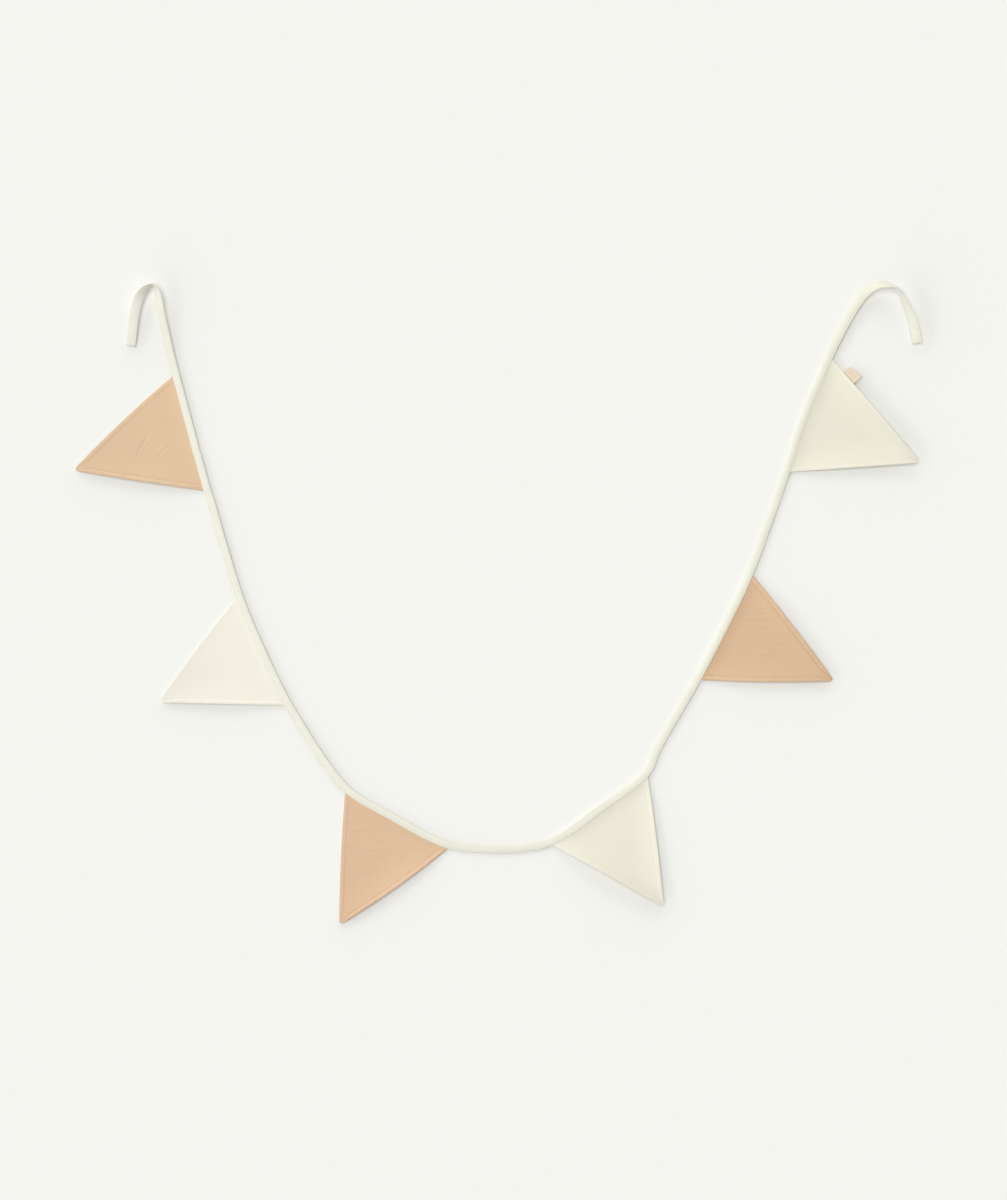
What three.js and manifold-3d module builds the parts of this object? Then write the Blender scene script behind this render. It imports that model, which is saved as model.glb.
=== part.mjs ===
// A bunting of six cloth pennants on one narrow folded tape, lying in a U on a flat surface.
// Millimetres, +Z up. The surface is Z = 0, and the U opens towards +Y, where the tape's two ends lie free.
import * as THREE from 'three';
import { mergeVertices } from 'three/addons/utils/BufferGeometryUtils.js';
import Module from 'manifold-3d';

const wasm = await Module();
wasm.setup();

// Tape: a cotton strip folded lengthwise into a flat binding
const tapeWidth = 10;
const tapeThick = 3;
const tapeRound = 0.8;

// Its middle line, from the left tie's free end round the U to the right tie's free end. lift is the gap
// under its lowest edge. roll turns it about its length, and a plus sign raises the pennants' side.
const leftTie = [
  { x: -461, y: 320, lift: 3, roll: 4 },
  { x: -457, y: 351, lift: 6, roll: 2 },
  { x: -451, y: 376.5, lift: 8, roll: -6 },
  { x: -442, y: 389.5, lift: 8, roll: -45 },
  { x: -431, y: 394.5, lift: 8, roll: -74 },
  { x: -426.5, y: 385, lift: 7, roll: -45 },
  { x: -422, y: 360, lift: 5, roll: -14 },
  { x: -413.5, y: 321, lift: 2, roll: -8 },
];
const swag = [
  { x: -405.5, y: 289, lift: 0.7, roll: -7 },
  { x: -365, y: 140, lift: 0, roll: -6 },
  { x: -347.5, y: 79.5, lift: 0, roll: -8 },
  { x: -324.5, y: 5.5, lift: 0, roll: -6 },
  { x: -297, y: -60, lift: 0, roll: -6 },
  { x: -265, y: -125.5, lift: 0, roll: -6 },
  { x: -233.5, y: -178, lift: 0, roll: -9 },
  { x: -191, y: -233.5, lift: 0, roll: -7 },
  { x: -135.5, y: -267.5, lift: 0, roll: -6 },
  { x: -65, y: -303, lift: 0, roll: -5 },
  { x: -27, y: -308, lift: 0.1, roll: 0 },
  { x: 25.5, y: -307.5, lift: 0.1, roll: 0 },
  { x: 66, y: -298.5, lift: 0, roll: 3 },
  { x: 124.5, y: -258.5, lift: 0, roll: 4 },
  { x: 184.5, y: -212, lift: 0, roll: 5 },
  { x: 196, y: -186, lift: 0, roll: 3 },
  { x: 248, y: -94.5, lift: 0, roll: 5 },
  { x: 309.5, y: 28.5, lift: 0, roll: 5 },
  { x: 334.5, y: 94, lift: 0, roll: 4 },
  { x: 358, y: 161, lift: 0, roll: 3 },
  { x: 380.5, y: 230, lift: 0.1, roll: 3 },
  { x: 409.5, y: 299.5, lift: 0.6, roll: 3 },
];
const rightTie = [
  { x: 423, y: 329.5, lift: 1.5, roll: 8 },
  { x: 440, y: 361, lift: 3, roll: 8 },
  { x: 456.5, y: 385, lift: 5, roll: 14 },
  { x: 471, y: 394.5, lift: 7, roll: 32 },
  { x: 485.5, y: 394.5, lift: 8.5, roll: 60 },
  { x: 498.5, y: 389, lift: 9, roll: 88 },
  { x: 504, y: 377.5, lift: 8, roll: 112 },
  { x: 514, y: 354.5, lift: 7, roll: 140 },
  { x: 521.5, y: 323, lift: 5, roll: 160 },
];
const route = [...leftTie, ...swag, ...rightTie];

// Pennants: two layers of cotton, sewn and turned, their base edge held in a slot of the tape
const clothThick = 1.2;
const slotDepth = 8.25;
const gap = 0.3;
const floorGap = 0.7;
const mouthOver = 2;

// How far apart the sections of the tape and its slots may be: in turn, radians, and along it
const sectionTurn = 0.1;
const sectionStride = 14;

// The rolled seam along a free edge: height of the top and bottom faces from the cloth's middle
const seam = [
  { inward: 0, top: 0.35, bottom: 0.35 },
  { inward: 1.4, top: 0.8, bottom: 0.6 },
  { inward: 3.2, top: 0.9, bottom: 0.6 },
  { inward: 5.6, top: 0.4, bottom: 0.6 },
  { inward: 8, top: 0.6, bottom: 0.6 },
];
const middleColumns = 8;
const plainHalf = clothThick / 2;

// start and base are measured along the tape, height out to where the two sides would cross. lean moves
// that point along the base from its middle. The bows and lifts belong to the side at the base's start,
// the side at its end, and the tip.
const peach = 0xdfbd9b;
const cream = 0xefebdb;
const pennants = [
  { colour: peach, start: 202, base: 148, height: 150.5, lean: 7, tipRound: 3.2,
    startBow: 3, endBow: 0.5, startLift: 0, endLift: 6, tipLift: 3 },
  { colour: cream, start: 490.5, base: 146.5, height: 142.5, lean: 5, tipRound: 5,
    startBow: 2.5, endBow: -0.5, startLift: 0, endLift: 5, tipLift: 2 },
  { colour: peach, start: 768, base: 144.5, height: 149, lean: 0, tipRound: 3,
    startBow: 2, endBow: 3, startLift: 0, endLift: 5.5, tipLift: 3 },
  { colour: cream, start: 1041.5, base: 145.5, height: 145, lean: -5.5, tipRound: 4,
    startBow: -1.5, endBow: 1, startLift: 12, endLift: 4, tipLift: 6 },
  { colour: peach, start: 1323.5, base: 145.5, height: 150, lean: 0, tipRound: 3.2,
    startBow: 2, endBow: 1, startLift: 5, endLift: 5.5, tipLift: 4 },
  { colour: cream, start: 1606, base: 150.5, height: 148.5, lean: -7.5, tipRound: 4.5,
    startBow: 0, endBow: 0, startLift: 6, endLift: 9, tipLift: 8 },
];

// How far a side's lift reaches into the cloth, where the tip's lift begins as a share of the height, and
// how far out the cloth has come down from the tape
const liftReach = 34;
const tipLiftFrom = 0.4;
const settleReach = 16;

// Rows of a pennant's grid: near the tape, then evenly on to the rounded tip. The seam's roll grows over the
// first ones. Where the tip is narrower than two seams, they are squeezed.
const nearRows = [0, 4, 10];
const evenRows = 9;
const twoSeams = 24;
const tipLastAngle = 72;

// Label: a woven tab folded over, sewn into the last pennant's upper side. slant makes it longer at one end.
const label = {
  colour: 0xeecfae, fromCorner: 19.5, width: 19.5, reach: 12.2, slant: 1.5, leaf: 0.8, inside: 0.4, droop: 6,
  seamGap: 0.4,
};

// Tape's middle line, and its frame at a distance along it
const { degToRad } = THREE.MathUtils;
const edgeHeight = (roll) => (
  Math.abs(Math.sin(roll)) * tapeWidth / 2 + Math.abs(Math.cos(roll)) * tapeThick / 2
);
const middleLine = new THREE.CatmullRomCurve3(
  route.map(({ x, y, lift, roll }) => new THREE.Vector3(x, y, lift + edgeHeight(degToRad(roll)))),
  false, 'centripetal',
);
middleLine.arcLengthDivisions = 2000;
const tapeLength = middleLine.getLength();
const rollLine = new THREE.CatmullRomCurve3(
  route.map(({ roll }) => new THREE.Vector3(roll, 0, 0)), false, 'catmullrom',
);

function tapeAt(distance) {
  const share = middleLine.getUtoTmapping(distance / tapeLength);
  const ahead = middleLine.getTangent(share);
  const roll = degToRad(rollLine.getPoint(share).x);
  const level = new THREE.Vector3(ahead.y, -ahead.x, 0).normalize();
  const upright = new THREE.Vector3().crossVectors(level, ahead);
  return {
    middle: middleLine.getPoint(share),
    ahead,
    across: level.clone().multiplyScalar(Math.cos(roll)).addScaledVector(upright, Math.sin(roll)),
    normal: upright.clone().multiplyScalar(Math.cos(roll)).addScaledVector(level, -Math.sin(roll)),
  };
}

const onTape = (distance, across, normal) => {
  const frame = tapeAt(distance);
  return frame.middle.clone().addScaledVector(frame.across, across).addScaledVector(frame.normal, normal);
};

// Distances along the tape that are close together where it turns or twists and far apart where it runs on
function stations(from, to, turn, stride) {
  const found = [from];
  let last = tapeAt(from);
  for (let at = from + 1; at < to - 1; at += 1) {
    const here = tapeAt(at);
    const turned = here.ahead.angleTo(last.ahead) + here.normal.angleTo(last.normal);
    if (turned > turn || at - found.at(-1) > stride) {
      found.push(at);
      last = here;
    }
  }
  return [...found, to];
}

// Closed mesh from a grid of top points over a grid of bottom points, row by row
function closedSheet(top, bottom) {
  const rows = top.length;
  const columns = top[0].length;
  const points = [...top.flat(), ...bottom.flat()];
  const index = [];
  const quad = (a, b, c, d) => index.push(a, b, c, a, c, d);
  const upper = (row, column) => row * columns + column;
  const lower = (row, column) => rows * columns + upper(row, column);
  for (let row = 0; row < rows - 1; row += 1) {
    for (let column = 0; column < columns - 1; column += 1) {
      quad(upper(row, column), upper(row + 1, column), upper(row + 1, column + 1), upper(row, column + 1));
      quad(lower(row, column), lower(row, column + 1), lower(row + 1, column + 1), lower(row + 1, column));
    }
    quad(upper(row, 0), lower(row, 0), lower(row + 1, 0), upper(row + 1, 0));
    const last = columns - 1;
    quad(upper(row + 1, last), lower(row + 1, last), lower(row, last), upper(row, last));
  }
  for (let column = 0; column < columns - 1; column += 1) {
    const last = rows - 1;
    quad(upper(0, column + 1), lower(0, column + 1), lower(0, column), upper(0, column));
    quad(upper(last, column), lower(last, column), lower(last, column + 1), upper(last, column + 1));
  }
  const geometry = new THREE.BufferGeometry().setFromPoints(points);
  geometry.setIndex(index);
  return geometry;
}

// A closed bar whose section, points of (across, normal), follows the tape
function sweep(section, distances) {
  const points = distances.flatMap((at) => section.map(([across, normal]) => onTape(at, across, normal)));
  const count = section.length;
  const index = [];
  for (let ring = 0; ring < distances.length - 1; ring += 1) {
    for (let side = 0; side < count; side += 1) {
      const next = (side + 1) % count;
      const here = ring * count;
      const there = here + count;
      index.push(here + side, there + side, there + next, here + side, there + next, here + next);
    }
  }
  const end = (distances.length - 1) * count;
  for (let side = 1; side < count - 1; side += 1) {
    index.push(0, side, side + 1);
    index.push(end, end + side + 1, end + side);
  }
  const geometry = new THREE.BufferGeometry().setFromPoints(points);
  geometry.setIndex(index);
  return geometry;
}

// Boolean cut
function toSolid(geometry) {
  const merged = mergeVertices(geometry, 1e-4);
  return new wasm.Manifold(new wasm.Mesh({
    numProp: 3,
    vertProperties: merged.attributes.position.array,
    triVerts: new Uint32Array(merged.index.array),
  }));
}

function toGeometry(solid) {
  const { vertProperties, triVerts } = solid.getMesh();
  const geometry = new THREE.BufferGeometry();
  geometry.setAttribute('position', new THREE.BufferAttribute(vertProperties, 3));
  geometry.setIndex(new THREE.BufferAttribute(triVerts, 1));
  return geometry;
}

function piece(name, geometry, colour) {
  geometry.computeVertexNormals();
  const cloth = new THREE.MeshStandardMaterial({ color: colour, roughness: 0.95, metalness: 0 });
  const mesh = new THREE.Mesh(geometry, cloth);
  mesh.name = name;
  return mesh;
}

// Tape with a slot along each pennant's base
function makeTape() {
  const side = tapeWidth / 2;
  const face = tapeThick / 2;
  const outline = [
    [side, face - tapeRound], [side - tapeRound, face], [tapeRound - side, face], [-side, face - tapeRound],
    [-side, tapeRound - face], [tapeRound - side, -face], [side - tapeRound, -face], [side, tapeRound - face],
  ];
  let solid = toSolid(sweep(outline, stations(0, tapeLength, sectionTurn, sectionStride)));
  const slotFace = plainHalf + gap;
  const slotMouth = side + mouthOver;
  const slotFloor = side - slotDepth;
  const slot = [[slotMouth, slotFace], [slotFloor, slotFace], [slotFloor, -slotFace], [slotMouth, -slotFace]];
  for (const { start, base } of pennants) {
    const along = stations(start - gap, start + base + gap, sectionTurn / 2, sectionStride / 2);
    solid = solid.subtract(toSolid(sweep(slot, along)));
  }
  return piece('tape', toGeometry(solid), cream);
}

// The outline and folds of one pennant. A point of its cloth is given by its distance out from the tape's
// edge and by its place across, from 0 at the starting side to 1 at the end side.
function shapeOf(pennant) {
  const { start, base, height, lean, tipRound } = pennant;
  const tapeEdge = (share) => onTape(start + base * share, tapeWidth / 2, 0);
  const first = tapeEdge(0);
  const chord = tapeEdge(1).sub(first).setZ(0);
  const span = chord.length();
  const along = chord.normalize();
  const outward = new THREE.Vector3(along.y, -along.x, 0);
  const halfAngle = Math.atan(span / 2 / height);
  const roundCentre = height - tipRound / Math.sin(halfAngle);
  const roundStart = roundCentre + tipRound * Math.sin(halfAngle);
  const roundEnd = roundCentre + tipRound * Math.sin(degToRad(tipLastAngle));

  const halfWidth = (out) => (out <= roundStart
    ? span / 2 * (1 - out / height)
    : Math.sqrt(tipRound ** 2 - (out - roundCentre) ** 2));
  const bow = (out) => 4 * (out / height) * (1 - out / height);
  const sideAt = (out) => {
    const middle = span / 2 + lean * out / height;
    return [
      middle - halfWidth(out) - pennant.startBow * bow(out),
      middle + halfWidth(out) + pennant.endBow * bow(out),
    ];
  };

  // Distances from the starting side of a row's columns: the seam, the plain middle, the other seam
  function columnsAt(out) {
    const [low, high] = sideAt(Math.max(out, 0));
    const width = high - low;
    const squeeze = Math.min(1, width / twoSeams);
    const inner = seam.at(-1).inward * squeeze;
    const plain = [];
    for (let step = 1; step < middleColumns; step += 1) {
      plain.push(inner + (width - 2 * inner) * step / middleColumns);
    }
    const rising = seam.map(({ inward }) => inward * squeeze);
    const falling = rising.map((inward) => width - inward).reverse();
    return { low, width, offsets: [...rising, ...plain, ...falling] };
  }

  function middleOf(out, offset, low, width) {
    const share = offset / width;
    if (out <= 0) {
      return onTape(start + base * share, tapeWidth / 2 + out, 0);
    }
    const edge = tapeEdge(share);
    const sag = edge.clone().sub(first).addScaledVector(along, -span * share);
    const far = out / height;
    const point = first.clone().addScaledVector(along, low + offset).addScaledVector(outward, out);
    point.addScaledVector(sag.setZ(0), (1 - far) ** 2);
    const settle = Math.max(0, 1 - out / settleReach) ** 2;
    const nearStart = Math.max(0, 1 - offset * Math.cos(halfAngle) / liftReach) ** 2;
    const nearEnd = Math.max(0, 1 - (width - offset) * Math.cos(halfAngle) / liftReach) ** 2;
    const raised = bow(out) * (pennant.startLift * nearStart + pennant.endLift * nearEnd)
      + pennant.tipLift * Math.max(0, (far - tipLiftFrom) / (1 - tipLiftFrom)) ** 2;
    return point.setZ(plainHalf + (edge.z - plainHalf) * settle + raised);
  }

  return { roundStart, roundEnd, columnsAt, middleOf };
}

function makePennant(pennant, name) {
  const shape = shapeOf(pennant);
  const rows = [floorGap - slotDepth, ...nearRows];
  const seamFull = nearRows.at(-1);
  for (let step = 1; step <= evenRows; step += 1) {
    rows.push(seamFull + (shape.roundStart - seamFull) * step / evenRows);
  }
  rows.push((shape.roundStart + shape.roundEnd * 2) / 3, shape.roundEnd);

  const top = [];
  const bottom = [];
  for (const out of rows) {
    const { low, width, offsets } = shape.columnsAt(out);
    const seamShare = THREE.MathUtils.clamp(out / seamFull, 0, 1);
    const last = offsets.length - 1;
    const middles = offsets.map((offset) => shape.middleOf(out, offset, low, width));
    const faceAt = (column, side) => {
      const { [side]: raised } = seam[Math.min(column, last - column, seam.length - 1)];
      return column === 0 || column === last ? raised : plainHalf + (raised - plainHalf) * seamShare;
    };
    top.push(middles.map((point, column) => point.clone().setZ(point.z + faceAt(column, 'top'))));
    bottom.push(middles.map((point, column) => point.clone().setZ(point.z - faceAt(column, 'bottom'))));
  }
  return piece(name, closedSheet(top, bottom), pennant.colour);
}

// Folded tab: its section lies across the pennant's side and runs along it
function makeLabel() {
  const pennant = pennants.at(-1);
  const shape = shapeOf(pennant);
  const sideSlope = Math.cos(Math.atan(pennant.base / 2 / pennant.height));
  const sidePoint = (fromCorner) => {
    const out = fromCorner * sideSlope;
    const { low, width } = shape.columnsAt(out);
    return shape.middleOf(out, width, low, width);
  };
  const near = sidePoint(label.fromCorner);
  const far = sidePoint(label.fromCorner + label.width);
  const along = near.clone().sub(far).normalize();
  const level = new THREE.Vector3(-along.y, along.x, 0).normalize();
  const outward = level.negate().applyAxisAngle(along, degToRad(-label.droop));
  const upward = new THREE.Vector3().crossVectors(along, outward);

  const half = label.inside / 2 + label.leaf;
  const section = new THREE.Shape();
  section.moveTo(0, -half);
  section.lineTo(label.reach - half, -half);
  section.absarc(label.reach - half, 0, half, -Math.PI / 2, Math.PI / 2, false);
  section.lineTo(0, half);
  section.lineTo(0, label.inside / 2);
  section.lineTo(label.reach - half, label.inside / 2);
  section.absarc(label.reach - half, 0, label.inside / 2, Math.PI / 2, -Math.PI / 2, true);
  section.lineTo(0, -label.inside / 2);
  section.closePath();
  const geometry = new THREE.ExtrudeGeometry(section, {
    depth: label.width, bevelEnabled: false, curveSegments: 6,
  });
  const corners = geometry.attributes.position;
  for (let corner = 0; corner < corners.count; corner += 1) {
    const toNear = corners.getZ(corner) / label.width * 2 - 1;
    corners.setX(corner, corners.getX(corner) * (1 - label.slant * toNear / label.reach));
  }
  const mesh = piece('label', geometry, label.colour);
  mesh.setRotationFromMatrix(new THREE.Matrix4().makeBasis(outward, upward, along));
  mesh.position.copy(far).addScaledVector(outward, label.seamGap);
  return mesh;
}

const bunting = new THREE.Group();
bunting.add(makeTape());
pennants.forEach((pennant, order) => bunting.add(makePennant(pennant, `pennant_${order + 1}`)));
bunting.add(makeLabel());

// Brings the middle of the whole to X = Y = 0
bunting.position.set(1.375, 0.858, 0);

export default bunting;
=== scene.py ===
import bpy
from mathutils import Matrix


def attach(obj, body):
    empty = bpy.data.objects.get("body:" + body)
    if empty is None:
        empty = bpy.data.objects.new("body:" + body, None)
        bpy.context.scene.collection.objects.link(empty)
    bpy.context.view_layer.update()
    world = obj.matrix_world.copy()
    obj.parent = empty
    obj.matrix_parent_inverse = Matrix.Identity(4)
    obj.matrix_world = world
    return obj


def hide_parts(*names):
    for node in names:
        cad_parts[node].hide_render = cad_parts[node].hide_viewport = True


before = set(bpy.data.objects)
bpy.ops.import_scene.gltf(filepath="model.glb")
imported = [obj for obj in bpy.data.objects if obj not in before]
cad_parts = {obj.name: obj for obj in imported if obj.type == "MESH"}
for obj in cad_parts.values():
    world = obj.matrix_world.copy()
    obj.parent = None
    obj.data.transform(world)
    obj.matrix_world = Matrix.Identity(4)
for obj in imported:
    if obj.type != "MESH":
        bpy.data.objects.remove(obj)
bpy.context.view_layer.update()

import bmesh
import bpy
import numpy as np
from math import cos, pi, radians, sin
from mathutils import Vector

# Where the bunting is seen from, and what it lies on
# The camera looks straight down on a pale smooth table. Broad soft light comes from above, windows from the
# top round the left side send some in low, and pale walls return the rest.
MM = 0.001
view_middle = (6.4, 3.3)
view_height = 1500.0
lens = 100.0
table_size = 14.0
table_drop = 0.0002
table_colour = (0.806, 0.806, 0.771)
wall_light = 0.22

bpy.ops.object.select_all(action="DESELECT")
camera_data = bpy.data.cameras.new("camera")
camera_data.sensor_width = 36.0
camera_data.lens = lens
camera = bpy.data.objects.new("camera", camera_data)
camera_height = view_height * MM * lens / camera_data.sensor_width
camera.location = (view_middle[0] * MM, view_middle[1] * MM, camera_height)
bpy.context.scene.collection.objects.link(camera)
bpy.context.scene.camera = camera
bpy.context.scene.view_settings.view_transform = "Standard"

bpy.ops.mesh.primitive_plane_add(size=table_size, location=(0, 0, -table_drop))
table_top = bpy.context.active_object
table_top.name = "table_top"
pale = bpy.data.materials.new("pale_table")
pale.use_nodes = True
pale_shader = pale.node_tree.nodes["Principled BSDF"]
pale_shader.inputs["Base Color"].default_value = (*table_colour, 1)
pale_shader.inputs["Roughness"].default_value = 0.9
pale_shader.inputs["Specular IOR Level"].default_value = 0.1
table_top.data.materials.append(pale)

soft_lights = {
    # round from the right in degrees, height over the table in degrees, width in degrees, strength
    "skylight": (150, 80, 40, 1.83),
    "window_1": (60, 22, 34, 0.40),
    "window_2": (92, 20, 34, 0.66),
    "window_3": (132, 20, 34, 0.58),
    "window_4": (172, 20, 34, 0.52),
    "window_5": (212, 20, 34, 0.54),
    "window_6": (244, 20, 34, 0.40),
}
for name, (around, up, wide, strength) in soft_lights.items():
    light = bpy.data.lights.new(name, "SUN")
    light.energy = strength
    light.angle = radians(wide)
    light_place = bpy.data.objects.new(name, light)
    light_place.rotation_mode = "QUATERNION"
    sideways = cos(radians(up))
    from_there = Vector((cos(radians(around)) * sideways, sin(radians(around)) * sideways, sin(radians(up))))
    light_place.rotation_quaternion = from_there.to_track_quat("Z", "Y")
    bpy.context.scene.collection.objects.link(light_place)
walls = bpy.data.worlds.new("walls")
walls.use_nodes = True
walls.node_tree.nodes["Background"].inputs["Color"].default_value = (1, 1, 1, 1)
walls.node_tree.nodes["Background"].inputs["Strength"].default_value = wall_light
bpy.context.scene.world = walls


# Binding
# One strip of cream cotton, folded in four to a 10 mm tape and stitched near its open side, which grips the
# pennants. Its free ends are the ties: the left one turns back on edge and the right one twists over.
route = np.array([
    # x, y, lift of the lowest edge, roll in degrees
    (-461, 320, 3, 4), (-457, 351, 6, 2), (-451, 376.5, 8, -6), (-442, 389.5, 8, -45),
    (-431, 394.5, 8, -74), (-426.5, 385, 7, -45), (-422, 360, 5, -14), (-413.5, 321, 2, -8),
    (-405.5, 289, 0.7, -7), (-365, 140, 0, -6), (-347.5, 79.5, 0, -8), (-324.5, 5.5, 0, -6),
    (-297, -60, 0, -6), (-265, -125.5, 0, -6), (-233.5, -178, 0, -9), (-191, -233.5, 0, -7),
    (-135.5, -267.5, 0, -6), (-65, -303, 0, -5), (-27, -308, 0.1, 0), (25.5, -307.5, 0.1, 0),
    (66, -298.5, 0, 3), (124.5, -258.5, 0, 4), (184.5, -212, 0, 5), (196, -186, 0, 3), (248, -94.5, 0, 5),
    (309.5, 28.5, 0, 5), (334.5, 94, 0, 4), (358, 161, 0, 3), (380.5, 230, 0.1, 3), (409.5, 299.5, 0.6, 3),
    (423, 329.5, 1.5, 8), (440, 361, 3, 8), (456.5, 385, 5, 14), (471, 394.5, 7, 32), (485.5, 394.5, 8.5, 60),
    (498.5, 389, 9, 88), (504, 377.5, 8, 112), (514, 354.5, 7, 140), (521.5, 323, 5, 160),
])
route_shift = (1.375, 0.858)
tape_width, tape_thick = 10.0, 3.0
roll = np.radians(route[:, 3])
standing = np.abs(np.sin(roll)) * tape_width / 2 + np.abs(np.cos(roll)) * tape_thick / 2
knots = np.column_stack([route[:, :2] + route_shift, route[:, 2] + standing])


def through(points, share, even):
    """A smooth line through points, with its knots spaced evenly or else by the root of their distance."""
    before = 2 * points[0] - points[1]
    after = 2 * points[-1] - points[-2]
    padded = np.vstack([before, points, after])
    place = np.clip(share, 0, 1) * (len(points) - 1)
    first = np.minimum(place.astype(int), len(points) - 2)
    t = (place - first)[:, None]
    p0, p1, p2, p3 = (padded[first + k] for k in range(4))
    if even:
        start_slope, end_slope = (p2 - p0) / 2, (p3 - p1) / 2
    else:
        pairs = ((p0, p1), (p1, p2), (p2, p3))
        d0, d1, d2 = (np.sqrt(np.linalg.norm(b - a, axis=1))[:, None] for a, b in pairs)
        start_slope = ((p1 - p0) / d0 - (p2 - p0) / (d0 + d1) + (p2 - p1) / d1) * d1
        end_slope = ((p2 - p1) / d1 - (p3 - p1) / (d1 + d2) + (p3 - p2) / d2) * d1
    rise = 3 * (p2 - p1) - 2 * start_slope - end_slope
    bend = 2 * (p1 - p2) + start_slope + end_slope
    return p1 + start_slope * t + rise * t ** 2 + bend * t ** 3


def unit(vectors):
    return vectors / np.linalg.norm(vectors, axis=-1, keepdims=True)


def run_along(line):
    """How far each point of a line is from its start, along it."""
    return np.concatenate([[0], np.cumsum(np.linalg.norm(np.diff(line, axis=0), axis=1))])


even_share = np.linspace(0, 1, 2001)
run_of_share = run_along(through(knots, even_share, False))
tape_length = run_of_share[-1]
frame_step = 0.5
run = np.arange(0, tape_length, frame_step)
run[-1] = tape_length
share = np.interp(run, run_of_share, even_share)
small_share = 1e-4
ahead = unit(through(knots, share + small_share, False) - through(knots, share - small_share, False))
turned = np.radians(through(route[:, 3:4], share, True))
level = unit(np.column_stack([ahead[:, 1], -ahead[:, 0], 0 * share]))
upright = np.cross(level, ahead)
tape_frame = np.hstack([
    through(knots, share, False),
    level * np.cos(turned) + upright * np.sin(turned),
    upright * np.cos(turned) - level * np.sin(turned),
])


def on_tape(distance, across, out_of_face):
    """Places on the binding: distance along it, across to its open side, and out of its upper face."""
    distance, across, out_of_face = np.broadcast_arrays(distance, across, out_of_face)
    found = np.stack([np.interp(distance, run, column) for column in tape_frame.T], -1)
    return found[..., :3] + found[..., 3:6] * across[..., None] + found[..., 6:] * out_of_face[..., None]


pennant_sizes = {
    # start and base along the binding, height to where the sides would cross, lean of that point, radius of
    # the tip, bow of the first and second side, lift of the first and second side and of the tip
    "pennant_1": (202, 148, 150.5, 7, 3.2, 3, 0.5, 0, 6, 3),
    "pennant_2": (490.5, 146.5, 142.5, 5, 5, 2.5, -0.5, 0, 5, 2),
    "pennant_3": (768, 144.5, 149, 0, 3, 2, 3, 0, 5.5, 3),
    "pennant_4": (1041.5, 145.5, 145, -5.5, 4, -1.5, 1, 12, 4, 6),
    "pennant_5": (1323.5, 145.5, 150, 0, 3.2, 2, 1, 5, 5.5, 4),
    "pennant_6": (1606, 150.5, 148.5, -7.5, 4.5, 0, 0, 6, 9, 8),
}
opens_before, opens_over = 4.0, 6.0


def gripping(distance):
    """How far the binding is opened by a pennant: 0 where it is empty, and 1 along a base."""
    opened = np.zeros_like(distance)
    for start, base, *_ in pennant_sizes.values():
        inside = np.minimum(distance - start + opens_before, start + base + opens_before - distance)
        ease = np.clip(inside / opens_over, 0, 1)
        opened = np.maximum(opened, ease * ease * (3 - 2 * ease))
    return opened


def sewn_cloth(name, rings, places):
    """Closed cloth from rings of points in mm. A ring runs over the cloth to its far side, which is at half
    its count, and back underneath. places are where its points lie on the flat cloth, for the weave. They
    have one more to a ring, which closes it."""
    turns, around = rings.shape[:2]
    grid = np.arange(turns * around).reshape(turns, around)
    marks = np.arange(turns * (around + 1)).reshape(turns, around + 1)
    here, there = grid[:-1], grid[1:]
    sides = np.stack([here, np.roll(here, -1, 1), np.roll(there, -1, 1), there], -1).reshape(-1, 4)
    side_marks = np.stack([marks[:-1, :-1], marks[:-1, 1:], marks[1:, 1:], marks[1:, :-1]], -1).reshape(-1, 4)
    ends = []
    for ring in (0, turns - 1):
        for step in range(around // 2):
            columns = sorted({step, step + 1, (around - step - 1) % around, (around - step) % around})
            ends.append([(ring, column) for column in columns])
    mesh = bpy.data.meshes.new(name)
    end_faces = [[int(grid[ring, column]) for ring, column in end] for end in ends]
    mesh.from_pydata((rings.reshape(-1, 3) * MM).tolist(), [], sides.tolist() + end_faces)
    end_marks = [marks[ring, column] for end in ends for ring, column in end]
    corners = np.concatenate([side_marks.ravel(), end_marks])
    unfolded = mesh.uv_layers.new(name="flat_cloth")
    unfolded.data.foreach_set("uv", places.reshape(-1, 2)[corners].ravel().astype(np.float32))
    work = bmesh.new()
    work.from_mesh(mesh)
    bmesh.ops.recalc_face_normals(work, faces=work.faces)
    work.to_mesh(mesh)
    work.free()
    mesh.shade_smooth()
    cloth = bpy.data.objects.new(name, mesh)
    bpy.context.scene.collection.objects.link(cloth)
    return cloth


# Half of the binding's section, from the open side's lip to the fold. The stitching dents it at 3.3 mm.
outer_leaf = np.array([
    # across, height as a share of the leaf's thickness, share of the gap that is under it
    (5.00, 0.50, 1), (4.94, 0.78, 1), (4.78, 0.95, 1), (4.35, 1.00, 1), (3.85, 0.93, 1), (3.50, 0.80, 1),
    (3.30, 0.76, 1), (3.10, 0.80, 1), (2.75, 0.94, 1), (2.00, 1.03, 1), (0.60, 1.06, 1), (-1.20, 1.06, 1),
    (-2.80, 1.03, 1), (-3.90, 0.98, 1), (-4.50, 0.84, 0.9), (-4.87, 0.50, 0.7),
])
inner_leaf = np.array([
    (5.00, 0.50, 1), (4.95, 0.22, 1), (4.80, 0.05, 1), (4.40, 0.0, 1), (3.90, 0.0, 1), (3.55, 0.0, 1),
    (3.30, 0.0, 1), (3.05, 0.0, 1), (2.70, 0.0, 1), (2.00, 0.0, 1), (0.60, 0.0, 1), (-1.00, 0.0, 1),
    (-2.40, 0.0, 1), (-3.30, 0.0, 1), (-3.80, 0.0, 0.9), (-4.10, 0.0, 0.6),
])
fold_outside, fold_inside = -5.0, -4.25
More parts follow.
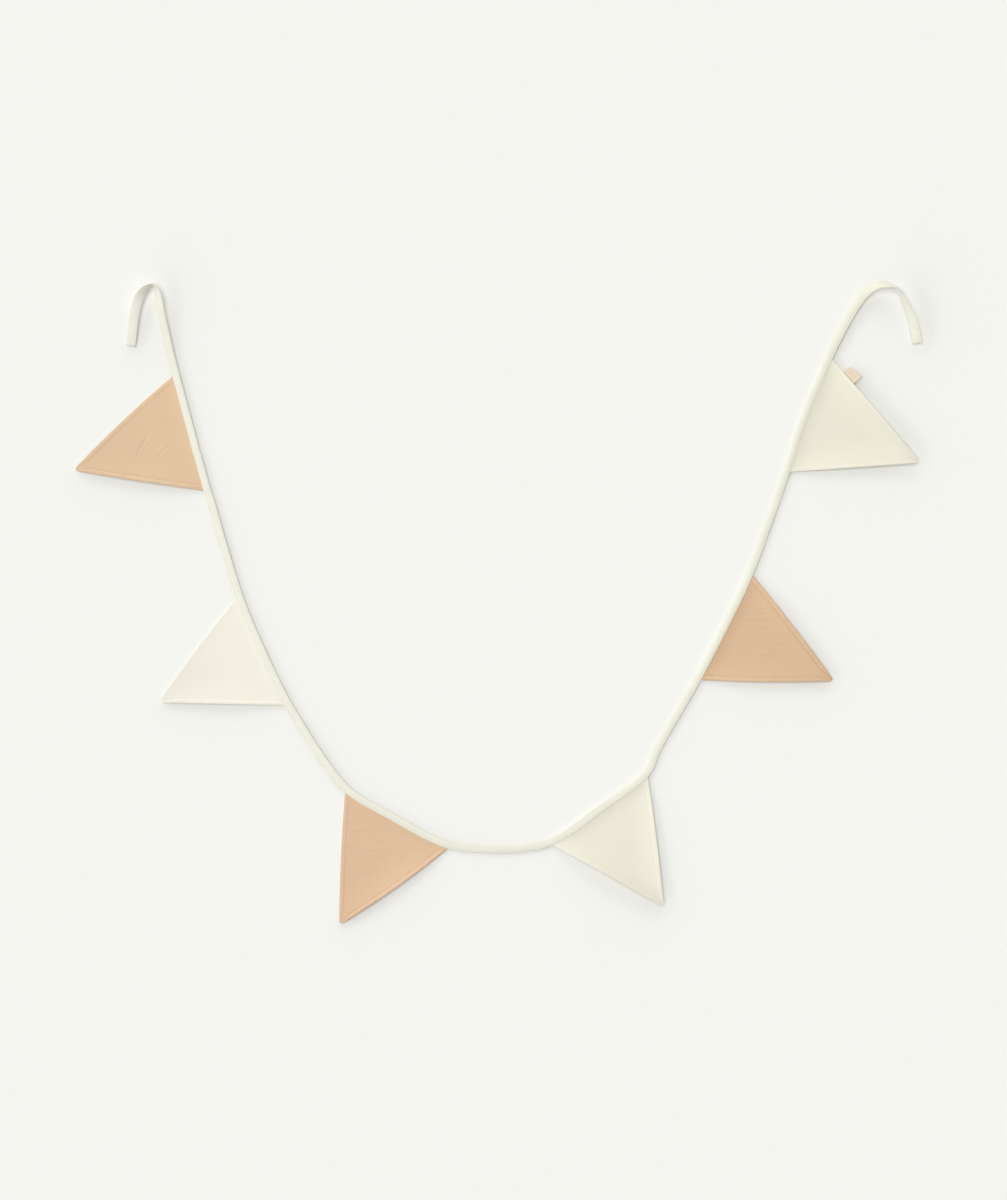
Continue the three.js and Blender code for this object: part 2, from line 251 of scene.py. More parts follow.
binding_slack = np.array([
    # distance along it, share of its width
    (0, 1.22), (70, 1.20), (100, 1.05), (150, 1.04), (200, 0.96), (350, 0.96), (365, 1.05), (480, 1.05),
    (495, 0.97), (635, 0.97), (655, 1.05), (755, 1.05), (772, 0.93), (912, 0.93), (930, 1.0), (1040, 0.98),
    (1187, 0.93), (1210, 0.95), (1322, 0.92), (1460, 0.88), (1480, 0.90), (1600, 0.88), (1760, 0.90),
    (1800, 1.0), (1860, 1.05), (1900, 1.15), (1965, 1.15),
])
leaf_thick, gripped_thinner, free_thinner = 1.07, 0.27, 0.5
empty_gap, gripped_gap = 0.05, 0.65
left_tie_end, right_tie_start, tie_ease, end_ease = 120.0, 1840.0, 30.0, 3.5
# The side that faces the windows lies flatter than the other one. It is the open side up to this turn,
# and the folded side beyond it.
window_side_turn, turn_ease = 1100.0, 60.0
pressed_share, far_pressed_share = 0.5, 0.2
lower_lip_out = 0.35
distances = np.linspace(0, tape_length, 1400)


def binding_faces(distance):
    """Half the gap inside the binding, and how thick one leaf of it is, along it."""
    grip = gripping(distance)
    at_end = np.clip(np.minimum(distance, tape_length - distance) / end_ease, 0, 1)
    soft = 0.03 * np.sin(distance / 5.3) + 0.03 * np.sin(distance / 2.1 + 0.7) * np.sin(distance / 31)
    in_left_tie = np.clip((left_tie_end - distance) / tie_ease, 0, 1)
    in_right_tie = np.clip((distance - right_tie_start) / tie_ease, 0, 1)
    thick = (leaf_thick - gripped_thinner * grip) * (1 - free_thinner * (in_left_tie + in_right_tie))
    return empty_gap + gripped_gap * grip, thick * (0.7 + 0.3 * at_end) * (1 + soft)


def binding_widen(distance):
    """How wide the binding lies, as a share of its folded width: a little slacker where it is free."""
    where, share = binding_slack.T
    return np.interp(distance, where, share)


def binding_wander(distance):
    """How far the binding strays sideways from its middle line."""
    slow = 0.10 * np.sin(distance / 23 + 1)
    return slow + 0.07 * np.sin(distance / 9.1) + 0.04 * np.sin(distance / 3.7 + 2)


def leaf_line(rows, side):
    """One leaf's part of the section, all along the binding. side is 1 above and -1 below."""
    place, rise, gap_share = rows.T
    gap, thick = binding_faces(distances)
    lower = lower_lip_out * np.clip((place - 2) / 3, 0, 1) * (side < 0)
    height = gap[:, None] * gap_share + thick[:, None] * rise
    across = (place + lower) * binding_widen(distances)[:, None] + binding_wander(distances)[:, None]
    to_window = np.tanh((window_side_turn - distances) / turn_ease)[:, None] * place
    pressed = 1 - pressed_share * np.clip((to_window - 1) / 4, 0, 1)
    pressed = pressed - far_pressed_share * np.clip((-to_window - 2) / 3, 0, 1)
    return np.stack([across, side * height * pressed], -1)


def fold_line(place):
    """The fold's part of the section, all along the binding."""
    across = place * binding_widen(distances) + binding_wander(distances)
    return np.stack([across, 0 * distances], -1)[:, None]


section = np.concatenate([
    leaf_line(outer_leaf, 1), fold_line(fold_outside), leaf_line(outer_leaf[::-1], -1),
    leaf_line(inner_leaf[1:], -1), fold_line(fold_inside), leaf_line(inner_leaf[:0:-1], 1),
], axis=1)
flat_run = run_along(section[0])
flat_run = np.append(flat_run, flat_run[-1] + 0.5)
binding = sewn_cloth(
    "binding", on_tape(distances[:, None], section[..., 0], section[..., 1]),
    np.stack(np.broadcast_arrays(flat_run[None, :], distances[:, None]), -1),
)


# Cotton
# One node group serves all the cloths: a plain weave with slubs, and the soft crinkle of washed cotton. The
# place on the flat cloth, in mm, drives it.
def wire(tree, from_socket, to_socket):
    tree.links.new(from_socket, to_socket)


def calculate(tree, operation, first, second=None):
    """One math node. Its two terms are sockets or numbers."""
    node = tree.nodes.new("ShaderNodeMath")
    node.operation = operation
    for socket, value in zip(node.inputs, (first, second)):
        if isinstance(value, (int, float)):
            socket.default_value = value
        elif value is not None:
            wire(tree, value, socket)
    return node.outputs[0]


def weighted_sum(tree, *parts):
    """The sum of some sockets, each times its own weight."""
    total = 0
    for socket, weight in parts:
        total = calculate(tree, "ADD", total, calculate(tree, "MULTIPLY", socket, weight))
    return total


def node_group(name, inputs, outputs):
    group = bpy.data.node_groups.new(name, "ShaderNodeTree")
    for label, kind, value in inputs:
        socket = group.interface.new_socket(label, in_out="INPUT", socket_type=kind)
        if value is not None:
            socket.default_value = value
    for label, kind in outputs:
        group.interface.new_socket(label, in_out="OUTPUT", socket_type=kind)
    return group, group.nodes.new("NodeGroupInput"), group.nodes.new("NodeGroupOutput")


def stretched_noise(tree, place, across_scale, along_scale, detail, roughness=0.5):
    """Noise on flat cloth in mm, with its own size across and along the weft."""
    stretch = tree.nodes.new("ShaderNodeVectorMath")
    stretch.operation = "MULTIPLY"
    stretch.inputs[1].default_value = (1 / along_scale, 1 / across_scale, 1)
    wire(tree, place, stretch.inputs[0])
    noise = tree.nodes.new("ShaderNodeTexNoise")
    noise.inputs["Scale"].default_value = 1
    noise.inputs["Detail"].default_value = detail
    noise.inputs["Roughness"].default_value = roughness
    wire(tree, stretch.outputs[0], noise.inputs["Vector"])
    return noise.outputs["Fac"]


weave, weave_in, weave_out = node_group(
    "cotton_weave",
    [("Place", "NodeSocketVector", None), ("Pitch", "NodeSocketFloat", 0.5), ("Slub", "NodeSocketFloat", 1.0),
     ("Crinkle", "NodeSocketFloat", 1.0)],
    [("Height", "NodeSocketFloat"), ("Shade", "NodeSocketFloat")],
)
apart = weave.nodes.new("ShaderNodeSeparateXYZ")
wire(weave, weave_in.outputs["Place"], apart.inputs[0])
bend = stretched_noise(weave, weave_in.outputs["Place"], 3, 9, 1)
bent = calculate(weave, "MULTIPLY", calculate(weave, "SUBTRACT", bend, 0.5), 0.8)
turns_per_thread = calculate(weave, "DIVIDE", pi, weave_in.outputs["Pitch"])
warp = calculate(weave, "SINE", calculate(weave, "MULTIPLY", apart.outputs["X"], turns_per_thread))
weft_place = calculate(weave, "ADD", apart.outputs["Y"], bent)
weft = calculate(weave, "SINE", calculate(weave, "MULTIPLY", weft_place, turns_per_thread))
crossing = calculate(weave, "MULTIPLY", warp, weft)
slub = stretched_noise(weave, weave_in.outputs["Place"], 0.55, 11, 2, 0.6)
slubbed = calculate(weave, "MULTIPLY", calculate(weave, "SUBTRACT", slub, 0.5), weave_in.outputs["Slub"])
crinkle = stretched_noise(weave, weave_in.outputs["Place"], 2.6, 13, 2, 0.55)
patch = stretched_noise(weave, weave_in.outputs["Place"], 26, 30, 1)
patches = calculate(weave, "MULTIPLY", calculate(weave, "SUBTRACT", patch, 0.36), 3.2)
crinkled = calculate(weave, "MULTIPLY", calculate(weave, "SUBTRACT", crinkle, 0.5), patches)
crinkled = calculate(weave, "MULTIPLY", crinkled, weave_in.outputs["Crinkle"])
height = weighted_sum(weave, (crossing, 0.06), (slubbed, 0.30), (crinkled, 0.9))
shade = weighted_sum(weave, (slubbed, 0.55), (crossing, 0.05), (crinkled, 0.22))
wire(weave, height, weave_out.inputs["Height"])
wire(weave, shade, weave_out.inputs["Shade"])


def cotton(name, light, dark, pitch, slub, crinkle, sheen=0.06, light_falloff=None, light_painted=False):
    """Matte cotton: its lit and shaded thread colours, the thread pitch in mm, and how slubby and crinkled it
    is. A light falloff gives two distances along the cloth, between which painted shade darkens it for the
    light that falls off across the table, and what share of the colour is left. Cloth with painted light
    carries an attribute of painted shade in its seams, creases and tip, and a painted highlight on its rolls."""
    material = bpy.data.materials.new(name)
    material.use_nodes = True
    tree = material.node_tree
    shader = tree.nodes["Principled BSDF"]
    shader.inputs["Roughness"].default_value = 0.92
    shader.inputs["Specular IOR Level"].default_value = 0.2
    shader.inputs["Sheen Weight"].default_value = sheen
    shader.inputs["Sheen Roughness"].default_value = 0.5
    flat_place = tree.nodes.new("ShaderNodeUVMap")
    flat_place.uv_map = "flat_cloth"
    cloth = tree.nodes.new("ShaderNodeGroup")
    cloth.node_tree = weave
    cloth.inputs["Pitch"].default_value = pitch
    cloth.inputs["Slub"].default_value = slub
    cloth.inputs["Crinkle"].default_value = crinkle
    wire(tree, flat_place.outputs[0], cloth.inputs["Place"])
    colours = tree.nodes.new("ShaderNodeMix")
    colours.data_type = "RGBA"
    colours.inputs[6].default_value = (*dark, 1)
    colours.inputs[7].default_value = (*light, 1)
    wire(tree, calculate(tree, "ADD", cloth.outputs["Shade"], 0.5), colours.inputs[0])
    finished = colours.outputs[2]
    # Painted shade: the colour darkens between two distances along the cloth, for the light that falls off
    # across the table
    if light_falloff:
        falloff_from, falloff_to, kept = light_falloff
        split = tree.nodes.new("ShaderNodeSeparateXYZ")
        wire(tree, flat_place.outputs[0], split.inputs[0])
        along = tree.nodes.new("ShaderNodeMapRange")
        along.inputs["From Min"].default_value = falloff_from
        along.inputs["From Max"].default_value = falloff_to
        wire(tree, split.outputs["Y"], along.inputs["Value"])
        falloff_shaded = tree.nodes.new("ShaderNodeMix")
        falloff_shaded.data_type = "RGBA"
        falloff_shaded.blend_type = "MULTIPLY"
        falloff_shaded.inputs[7].default_value = (*kept, 1)
        wire(tree, along.outputs["Result"], falloff_shaded.inputs[0])
        wire(tree, finished, falloff_shaded.inputs[6])
        finished = falloff_shaded.outputs[2]
    # Painted light and shade: an attribute scales the colour, darker in seams, creases and tip, lighter on
    # the rolls
    if light_painted:
        painted_light = tree.nodes.new("ShaderNodeAttribute")
        painted_light.attribute_name = "painted_light"
        scaled = tree.nodes.new("ShaderNodeVectorMath")
        scaled.operation = "SCALE"
        wire(tree, finished, scaled.inputs[0])
        wire(tree, painted_light.outputs["Fac"], scaled.inputs["Scale"])
        finished = scaled.outputs[0]
    wire(tree, finished, shader.inputs["Base Color"])
    bump = tree.nodes.new("ShaderNodeBump")
    bump.inputs["Distance"].default_value = MM
    bump.inputs["Strength"].default_value = 0.6
    wire(tree, cloth.outputs["Height"], bump.inputs["Height"])
    wire(tree, bump.outputs[0], shader.inputs["Normal"])
    return material


# The binding is painted darker towards its right end, for the light that falls off across the table
binding.data.materials.append(cotton(
    "binding_cotton", (0.80, 0.79, 0.70), (0.72, 0.706, 0.60), 0.42, 0.7, 0.15,
    light_falloff=(950, 1700, (0.95, 0.95, 0.92)),
))

# The binding's thread: one stitch, a small ball drawn out along the seam, copied every 2.8 mm on both faces
bpy.ops.object.select_all(action="DESELECT")
bpy.ops.mesh.primitive_uv_sphere_add(segments=6, ring_count=5, radius=1)
bpy.ops.object.mode_set(mode="EDIT")
bpy.ops.mesh.select_all(action="SELECT")
bpy.ops.transform.rotate(value=pi / 2, orient_axis="Y", center_override=(0, 0, 0))
bpy.ops.object.mode_set(mode="OBJECT")
stitch = bpy.context.active_object
stitch_points = np.array([vertex.co[:] for vertex in stitch.data.vertices])
stitch_faces = [list(face.vertices) for face in stitch.data.polygons]
bpy.data.objects.remove(stitch)


def sewing_thread(name, middles, alongs, ups, half_length, half_thick):
    """One stitch at each middle, laid along its seam."""
    alongs, ups = unit(alongs), unit(ups)
    sideways = np.cross(ups, alongs)
    points = (
        middles[:, None]
        + alongs[:, None] * (stitch_points[None, :, 0:1] * half_length)
        + sideways[:, None] * (stitch_points[None, :, 1:2] * half_thick)
        + ups[:, None] * (stitch_points[None, :, 2:3] * half_thick)
    )
    count = len(stitch_points)
    faces = []
    for copy in range(len(middles)):
        faces += [[corner + copy * count for corner in face] for face in stitch_faces]
    mesh = bpy.data.meshes.new(name)
    mesh.from_pydata((points.reshape(-1, 3) * MM).tolist(), [], faces)
    mesh.shade_smooth()
    thread = bpy.data.objects.new(name, mesh)
    bpy.context.scene.collection.objects.link(thread)
    return thread


def thread_finish(name, colour):
    material = bpy.data.materials.new(name)
    material.use_nodes = True
    tree = material.node_tree
    shader = tree.nodes["Principled BSDF"]
    shader.inputs["Roughness"].default_value = 0.7
    shader.inputs["Sheen Weight"].default_value = 0.2
    place = tree.nodes.new("ShaderNodeTexCoord")
    plies = tree.nodes.new("ShaderNodeTexNoise")
    plies.inputs["Scale"].default_value = 2600
    wire(tree, place.outputs["Object"], plies.inputs["Vector"])
    colours = tree.nodes.new("ShaderNodeMix")
    colours.data_type = "RGBA"
    colours.inputs[6].default_value = (*[0.86 * part for part in colour], 1)
    colours.inputs[7].default_value = (*colour, 1)
    wire(tree, plies.outputs["Fac"], colours.inputs[0])
    wire(tree, colours.outputs[2], shader.inputs["Base Color"])
    return material


stitch_pitch = 2.8
stitch_half_length, stitch_half_thick = 1.2, 0.17
seam_at, seam_height_share, thread_over = 3.3, 0.76, 0.06
middles, alongs, ups = [], [], []
stitch_run = np.arange(3.0, tape_length - 3.0, stitch_pitch)
gap, thick = binding_faces(stitch_run)
for side in (1, -1):
    height = side * (gap + thick * seam_height_share + thread_over)
    place = seam_at * binding_widen(stitch_run) + binding_wander(stitch_run)
    ends = [on_tape(stitch_run + step, place, height) for step in (-1, 1)]
    middles.append(on_tape(stitch_run, place, height))
    alongs.append(ends[1] - ends[0])
    ups.append(side * (on_tape(stitch_run, 0, 1) - on_tape(stitch_run, 0, 0)))
binding_thread = sewing_thread(
    "binding_thread", np.concatenate(middles), np.concatenate(alongs), np.concatenate(ups),
    stitch_half_length, stitch_half_thick,
)
binding_thread.data.materials.append(thread_finish("cream_thread", (0.78, 0.765, 0.68)))
for piece in (binding, binding_thread):
    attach(piece, "root")
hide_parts("tape")


# Pennants
# Each is two triangles of washed cotton, sewn together along the two free sides, turned, and topstitched
# 6.5 mm in, which leaves a soft roll along each side. The raw base lies in the binding's fold.
cloth_half = 0.6
settle_reach, lift_reach, tip_lift_from = 16.0, 34.0, 0.4
topstitch_in = 6.5
slot_reach = 7.5


class Pennant:
    """The outline and folds of one pennant. A place on it is given by how far it is out from the binding's
    lip, and by its offset from the first side."""

    def __init__(self, sizes):
        (self.start, self.base, self.height, self.lean, self.tip_round, self.start_bow, self.end_bow,
         self.start_lift, self.end_lift, self.tip_lift) = sizes
        self.first, last = on_tape(np.array([self.start, self.start + self.base]), tape_width / 2, 0)
        chord = (last - self.first) * (1, 1, 0)
        self.span = np.linalg.norm(chord)
        self.along = chord / self.span
        self.outward = np.array([self.along[1], -self.along[0], 0])
        self.half_angle = np.arctan(self.span / 2 / self.height)
        self.round_centre = self.height - self.tip_round / sin(self.half_angle)
        self.round_start = self.round_centre + self.tip_round * sin(self.half_angle)

    def bow(self, out):
        return 4 * (out / self.height) * (1 - out / self.height)

    def sides(self, out):
        """Where the first and second side are along the base's direction, at places out."""
        out = np.maximum(out, 0)
        rounded = np.sqrt(np.maximum(self.tip_round ** 2 - (out - self.round_centre) ** 2, 0))
        half = np.where(out <= self.round_start, self.span / 2 * (1 - out / self.height), rounded)
        middle = self.span / 2 + self.lean * out / self.height
        return middle - half - self.start_bow * self.bow(out), middle + half + self.end_bow * self.bow(out)

    def middle(self, out, offset):
        """The cloth's middle at places out and offset, both arrays."""
        out, offset = np.broadcast_arrays(out, offset)
        low, high = self.sides(out)
        width = high - low
        share = offset / width
        edge = on_tape(self.start + self.base * share, tape_width / 2, 0)
        sag = (edge - self.first) * (1, 1, 0) - self.along * (self.span * share)[..., None]
        far = out / self.height
        place = self.first + self.along * (low + offset)[..., None] + self.outward * out[..., None]
        place = place + sag * ((1 - far) ** 2)[..., None]
        settle = np.maximum(0, 1 - out / settle_reach) ** 2
        slope = cos(self.half_angle)
        near_start = np.maximum(0, 1 - offset * slope / lift_reach) ** 2
        near_end = np.maximum(0, 1 - (width - offset) * slope / lift_reach) ** 2
        raised = self.bow(out) * (self.start_lift * near_start + self.end_lift * near_end)
        raised = raised + self.tip_lift * np.maximum(0, (far - tip_lift_from) / (1 - tip_lift_from)) ** 2
        place[..., 2] = cloth_half + (edge[..., 2] - cloth_half) * settle + raised
        inside = on_tape(self.start + self.base * share, tape_width / 2 + out, 0)
        return np.where((out <= 0)[..., None], inside, place)


roll_width, roll_slope, roll_rise = 7.2, 0.6, 3.0
dent_half_width = 0.8


def roll_height(inward, out, face, fullness, dent_depth):
    """Half the cloth's thickness, inward from a side: a rounded edge, the roll, the dent, then plain."""
    edge_round = 0.5 + 0.5 * np.clip(fullness, 0, 1)
    rounded = np.sqrt(np.clip(1 - (1 - np.minimum(inward / edge_round, 1)) ** 2, 0, 1))
    bulk = 1 / (1 + np.exp((inward - roll_width) / roll_slope))
    pucker = 0.12 * np.sin(out / 1.35 + 0.5 * inward) + 0.16 * np.sin(out / 3.1 + 1.7)
    pucker = pucker + 0.1 * np.sin(out / 7.7)
    dent = np.exp(-((inward - topstitch_in) / dent_half_width) ** 2)
    crown = np.clip(inward / roll_rise, 0, 1) * np.clip((roll_width - inward) / roll_rise, 0, 1)
    if face == "top":
        puffed = bulk * (0.1 + 0.75 * crown + pucker * crown) - dent_depth * dent
        return rounded * (cloth_half + fullness * puffed)
    return rounded * (cloth_half - dent_depth / 2 * dent * fullness)


crease_ends_share = 0.35


def creases_lift(places, creases):
    """How much a table of creases raises the places: soft ridges, or troughs where the rise is negative."""
    lifted = np.zeros(places.shape[:-1])
    for x0, y0, x1, y1, width, rise in creases:
        start, end = np.array([x0, y0]), np.array([x1, y1])
        line = end - start
        length = np.linalg.norm(line)
        line = line / length
        offset = places[..., :2] - start
        along = offset @ line
        aside = offset[..., 0] * -line[1] + offset[..., 1] * line[0]
        beyond = np.maximum(np.maximum(-along, along - length), 0)
        lifted = lifted + rise * np.exp(-(aside / width) ** 2 - (beyond / (length * crease_ends_share)) ** 2)
    return lifted


creases_of = {
    # x and y of each crease's two ends, its half width and how far it rises
    "pennant_1": [
        (-436, 226, -423, 233, 0.99, 0.23), (-418, 225, -411, 233, 0.93, -0.2),
        (-452, 201, -439, 208, 0.99, 0.22), (-446, 196, -439, 207, 0.86, -0.2),
        (-453, 183, -444, 198, 1.06, -0.23), (-428, 185, -419, 195, 0.93, 0.22),
        (-419, 191, -409, 198, 0.93, -0.2), (-463, 227, -446, 238, 0.99, 0.2),
        (-434, 165, -442, 172, 0.99, -0.22),
    ],
    "pennant_2": [],
    "pennant_3": [
        (-187, -275, -161, -272, 0.99, -0.23), (-161, -272, -136, -275, 0.93, 0.2),
        (-184, -285, -159, -280, 0.99, 0.23), (-181, -287, -157, -285, 0.86, -0.2),
        (-179, -295, -144, -293, 0.99, 0.23), (-157, -297, -144, -302, 0.93, -0.22),
        (-156, -308, -133, -308, 0.99, 0.22), (-184, -314, -162, -312, 0.99, -0.22),
        (-162, -315, -141, -317, 0.93, 0.2), (-153, -320, -138, -319, 0.86, -0.2),
        (-178, -338, -161, -339, 0.99, -0.22), (-169, -302, -167, -310, 0.86, 0.18),
    ],
    "pennant_4": [],
    "pennant_5": [
        (313, -16, 333, -14, 0.99, -0.22), (321, -19, 333, -18, 0.86, 0.18),
        (318, -23, 347, -23, 0.93, -0.22), (306, -29, 321, -29, 0.93, 0.2),
        (329, -34, 339, -32, 0.93, -0.2), (341, -40, 349, -38, 0.93, 0.2),
        (306, -54, 331, -54, 0.99, 0.22), (342, -54, 358, -53, 0.93, -0.2),
        (300, -64, 311, -64, 0.93, 0.2), (328, -64, 346, -64, 0.93, 0.2),
        (276, -72, 287, -72, 0.93, -0.2), (352, -82, 377, -84, 0.93, 0.2),
        (359, -85, 376, -84, 0.86, -0.18), (276, -90, 308, -94, 1.06, 0.22),
    ],
    "pennant_6": [],
}
weave_of = {
    # thread pitch in mm, how slubby, how crinkled
    "peach": (0.55, 1.0, 0.8),
    "cream": (0.5, 0.6, 0.25),
}
thread_of = {
    "peach": thread_finish("peach_thread", (0.66, 0.47, 0.31)),
    "cream": thread_finish("pale_thread", (0.79, 0.76, 0.67)),
}
colours_of = {
    # lit and shaded, each pennant a little darker towards the right: painted shade for the light that falls
    # off across the table
    "pennant_1": ((0.729, 0.541, 0.368), (0.625, 0.438, 0.275)),
    "pennant_2": ((0.834, 0.806, 0.719), (0.751, 0.719, 0.617)),
    "pennant_3": ((0.714, 0.511, 0.348), (0.612, 0.414, 0.26)),
    "pennant_4": ((0.793, 0.766, 0.657), (0.714, 0.683, 0.564)),
    "pennant_5": ((0.691, 0.488, 0.325), (0.592, 0.396, 0.242)),
    "pennant_6": ((0.78, 0.754, 0.643), (0.702, 0.673, 0.551)),
}
seams_of = {
    # how full the roll is along the first and second side, how deep the stitching dents the cloth, how much
    # painted shade, with the thread holes, darkens that dent, how much painted shade darkens the tip, and the
    # turn of the weave in degrees
    "pennant_1": (0.25, 1.15, 0.28, 0.05, 0.03, 45),
    "pennant_2": (0.05, 1.1, 0.12, 0.01, 0.045, 0),
    "pennant_3": (0.25, 1.05, 0.40, 0.08, 0.035, 3),
    "pennant_4": (0.3, 0.6, 0.12, 0.01, 0.045, -2),
    "pennant_5": (0.85, 1.2, 0.38, 0.07, 0.06, 0),
    "pennant_6": (0.35, 0.4, 0.12, 0.01, 0.055, 4),
}

# The columns of the cloth's grid near a side, in mm from it, and how many lie between the two sides
side_columns = np.array([
    0, 0.05, 0.2, 0.5, 0.95, 1.5, 2.2, 3.0, 3.8, 4.6, 5.2, 5.6, 5.95, 6.3, 6.7, 7.2, 8.0, 9.4,
])
plain_columns = 92
slot_rows = [-slot_reach, -5, -2.5, -1.2, -0.5, 0, 0.6, 1.5, 2.6]
open_rows, tip_rows = 145, 10
# A pennant that is narrower than this, near its tip, has its side columns squeezed together
two_sides = 24.0
sewn_reach, edge_reach, crease_reach = 8.0, 0.5, 6.0
# Where painted shade starts to darken a pennant's outer part towards its tip, and over what share of its
# height it grows
tip_shade_from, tip_shade_over = 0.3, 0.5
thread_lift = 0.04
for name, sizes in pennant_sizes.items():
    number = int(name[-1])
    dye = "peach" if number % 2 else "cream"
    *roll_fullness, dent_depth, dent_shade, tip_shade, grain_turn = seams_of[name]
    shape = Pennant(sizes)
    start_turn = np.arcsin((shape.round_start - shape.round_centre) / shape.tip_round)
    tip_turn = start_turn + (pi / 2 - start_turn) * np.linspace(0, 0.97, tip_rows)[1:]
    outs = np.concatenate([
        slot_rows, np.linspace(4, shape.round_start, open_rows),
        shape.round_centre + shape.tip_round * np.sin(tip_turn),
    ])[:, None]
    low, high = shape.sides(outs)
    width = high - low
    squeeze = np.minimum(1, width / two_sides)
    from_side = side_columns * squeeze
    plain_from = side_columns[-1] * squeeze
    plain = plain_from + (width - 2 * plain_from) * np.linspace(0, 1, plain_columns)[1:-1]
    offsets = np.concatenate([from_side, plain, width - from_side[:, ::-1]], 1)
    inward = np.minimum(offsets, width - offsets) / squeeze
    middles = shape.middle(outs, offsets)
    clear_of_seams = np.clip(outs / crease_reach, 0, 1) * np.clip(inward / crease_reach, 0, 1)
    relief = creases_lift(middles, creases_of[name]) * clear_of_seams
    sewn = np.clip(outs / sewn_reach, 0, 1)
    fullness = np.where(offsets < width / 2, *roll_fullness)
    top_half = cloth_half + (roll_height(inward, outs, "top", fullness, dent_depth) - cloth_half) * sewn
    under_half = cloth_half + (roll_height(inward, outs, "under", fullness, dent_depth) - cloth_half) * sewn
    edge = np.minimum(inward / edge_reach, 1)
    top_half, under_half = top_half * edge ** 0.5, under_half * edge ** 0.5
    top, under = middles.copy(), middles.copy()
    top[..., 2] += top_half + relief
    under[..., 2] -= under_half - np.maximum(relief, 0)
    rings = np.concatenate([top, under[:, -2:0:-1]], 1)
    grain = radians(grain_turn)
    flat_x = middles[..., 0] * cos(grain) + middles[..., 1] * sin(grain)
    flat_y = middles[..., 1] * cos(grain) - middles[..., 0] * sin(grain)
    flat = np.stack([flat_x, flat_y], -1)
    pennant = sewn_cloth(name + "_cloth", rings, np.concatenate([flat, flat[:, -2::-1]], 1))
    finish = cotton(f"{dye}_cotton_{number}", *colours_of[name], *weave_of[dye], light_painted=True)
    pennant.data.materials.append(finish)
    stitched = np.exp(-((inward - topstitch_in) / 0.9) ** 2) * np.minimum(fullness, 1.2) * sewn
    in_roll = np.clip(inward / 2, 0, 1) * np.clip((topstitch_in - inward) / 1.5, 0, 1)
    rolled = in_roll * sewn * np.minimum(fullness, 1)
    # Painted light: shade in the stitching's dent along with its thread holes, a highlight on the rolls, and
    # shade in the crease troughs
    painted_light_values = 1 - dent_shade * stitched + 0.03 * rolled - 0.15 * np.clip(-relief, 0, 1)
    # Painted shade over the outer part towards the tip
    painted_light_values = painted_light_values - tip_shade * np.clip((outs / shape.height - tip_shade_from) / tip_shade_over, 0, 1)
    both_faces = np.concatenate([painted_light_values, painted_light_values[:, -2:0:-1]], 1)
    painted_light = pennant.data.attributes.new("painted_light", "FLOAT", "POINT")
    painted_light.data.foreach_set("value", both_faces.ravel().astype(np.float32))

    # Topstitching, from the binding to the crossing near the tip, along both sides and on both faces
    crossing = shape.height - topstitch_in / sin(shape.half_angle) - 1
    stitch_outs = np.arange(1.5, crossing, stitch_pitch * cos(shape.half_angle))
    middles, alongs, ups = [], [], []
    # The stitches underneath stay over the table
    face_limit = {"top": np.inf, "under": cloth_half - stitch_half_thick}
    for face, upward in (("top", 1), ("under", -1)):
        for side_fullness, at_end in zip(roll_fullness, (False, True)):
            half = roll_height(np.array(topstitch_in), stitch_outs, face, side_fullness, dent_depth)
            spots = []
            for step in (-0.6, 0, 0.6):
                low, high = shape.sides(stitch_outs + step)
                spot = high - low - topstitch_in if at_end else np.full_like(high, topstitch_in)
                spots.append(shape.middle(stitch_outs + step, spot))
            settled = np.clip(stitch_outs / sewn_reach, 0, 1) if face == "top" else 1
            height = cloth_half + (half - cloth_half) * settled + thread_lift
            spots[1][:, 2] += upward * np.minimum(height, face_limit[face])
            middles.append(spots[1])
            alongs.append(spots[2] - spots[0])
            ups.append(np.tile([0.0, 0.0, upward], (len(stitch_outs), 1)))
    thread = sewing_thread(
        name + "_thread", np.concatenate(middles), np.concatenate(alongs), np.concatenate(ups),
        stitch_half_length, stitch_half_thick,
    )
    thread.data.materials.append(thread_of[dye])
    for piece in (pennant, thread):
        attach(piece, "root")
    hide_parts(name)


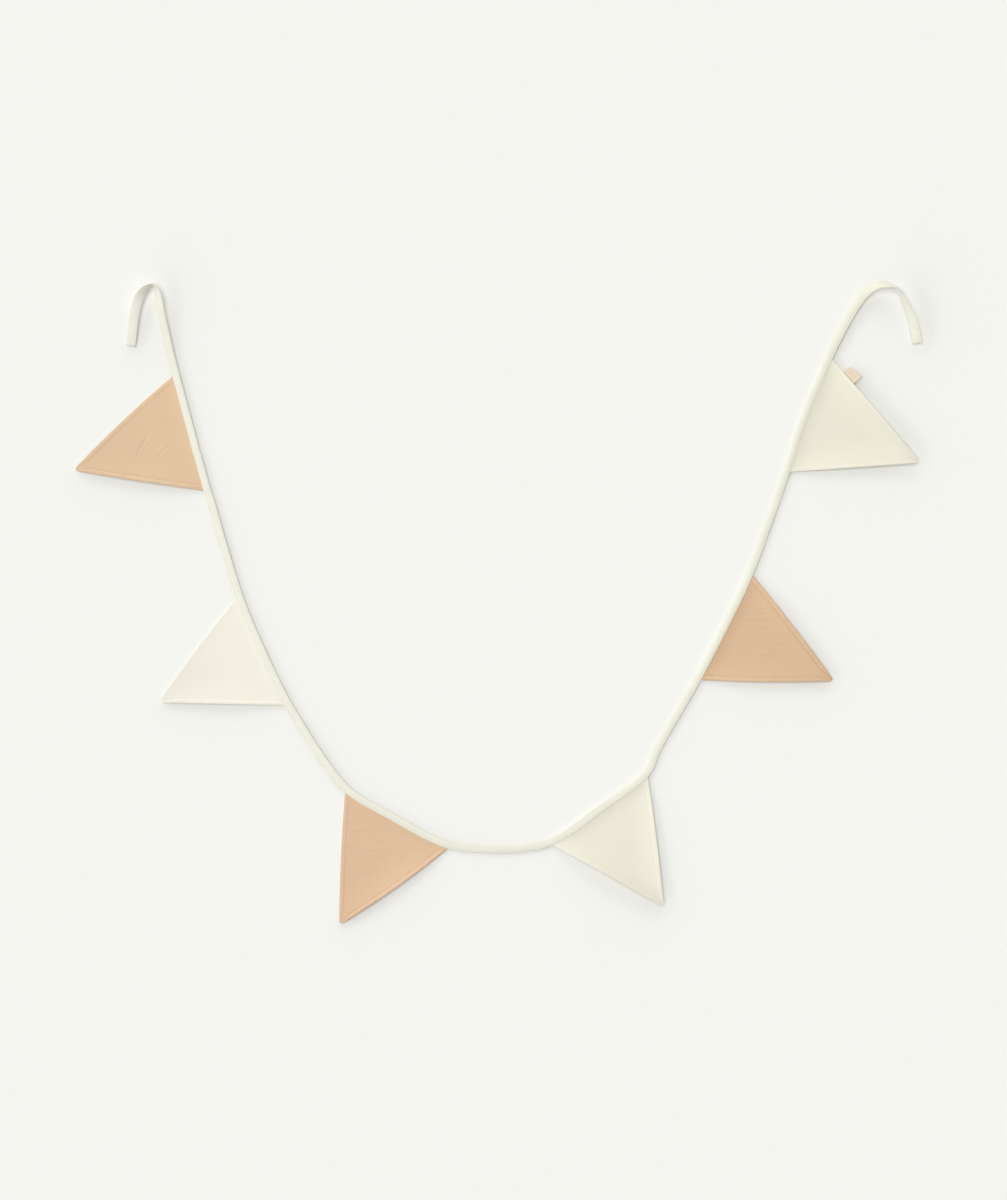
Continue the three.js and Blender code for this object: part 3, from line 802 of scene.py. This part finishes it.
# Label
# A narrow woven tab, folded over once and caught in the last pennant's upper seam. It is left bare.
label_from_corner, label_width, label_reach, label_slant = 19.5, 19.5, 12.2, 1.5
label_leaf, label_inside, label_droop, label_seam_gap = 0.42, 0.36, 6.0, 0.4
label_caught, label_curl = 1.2, 0.25
shape = Pennant(pennant_sizes["pennant_6"])
side_slope = cos(np.arctan(shape.base / 2 / shape.height))
corner_outs = np.array([label_from_corner, label_from_corner + label_width]) * side_slope
low, high = shape.sides(corner_outs)
near, far = shape.middle(corner_outs, high - low)
tab_along = unit(near - far)
level_out = unit(np.array([tab_along[1], -tab_along[0], 0]))
above = np.cross(tab_along, level_out)
above = above * np.sign(above[2])
droop = radians(label_droop)
tab_out = unit(level_out * cos(droop) - above * sin(droop))
tab_up = unit(np.cross(tab_along, tab_out))
tab_up = tab_up * np.sign(tab_up[2])
middle_half = label_inside / 2 + label_leaf / 2
fold_from = label_reach - middle_half
fold_turns = np.radians(np.linspace(-90, 90, 13))
straight = np.concatenate([
    np.linspace(0, label_caught, 5)[:-1], np.linspace(label_caught, fold_from, 16),
])[:-1]
tab_line = np.concatenate([
    np.column_stack([straight, np.full_like(straight, -middle_half)]),
    np.column_stack([fold_from + middle_half * np.cos(fold_turns), middle_half * np.sin(fold_turns)]),
    np.column_stack([straight[::-1], np.full_like(straight, middle_half)]),
])
line_slope = unit(np.gradient(tab_line, axis=0))
line_normal = np.column_stack([line_slope[:, 1], -line_slope[:, 0]])
near_edge = np.array([0, 0.12, 0.4, 0.9, 1.5])
widths = np.concatenate([near_edge, np.linspace(2.4, label_width - 2.4, 16), label_width - near_edge[::-1]])
rings, places = [], []
tab_run = run_along(tab_line)
for along_place in widths:
    edge = min(along_place, label_width - along_place)
    selvedge = 0.12 * np.exp(-((edge - 0.9) / 0.4) ** 2)
    half_leaf = label_leaf / 2 * (0.55 + 0.45 * min(edge / 0.5, 1) + selvedge)
    ring = np.concatenate([tab_line + line_normal * half_leaf, (tab_line - line_normal * half_leaf)[::-1]])
    to_near = along_place / label_width * 2 - 1
    out_place = ring[:, 0] * (1 - label_slant * to_near / label_reach) + label_seam_gap
    curl = label_curl * sin(pi * along_place / label_width) * (ring[:, 0] / label_reach) ** 2
    up_place = ring[:, 1] + curl
    rings.append(far + tab_out * out_place[:, None] + tab_up * up_place[:, None] + tab_along * along_place)
    ring_run = np.concatenate([tab_run, tab_run[::-1], tab_run[:1]])
    places.append(np.column_stack([np.full_like(ring_run, along_place), ring_run]))
label = sewn_cloth("woven_label", np.array(rings), np.array(places))
label.data.materials.append(cotton(
    "label_weave", (0.759, 0.658, 0.518), (0.671, 0.541, 0.396), 0.3, 0.3, 0.0, sheen=0.15,
))
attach(label, "root")
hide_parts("label")
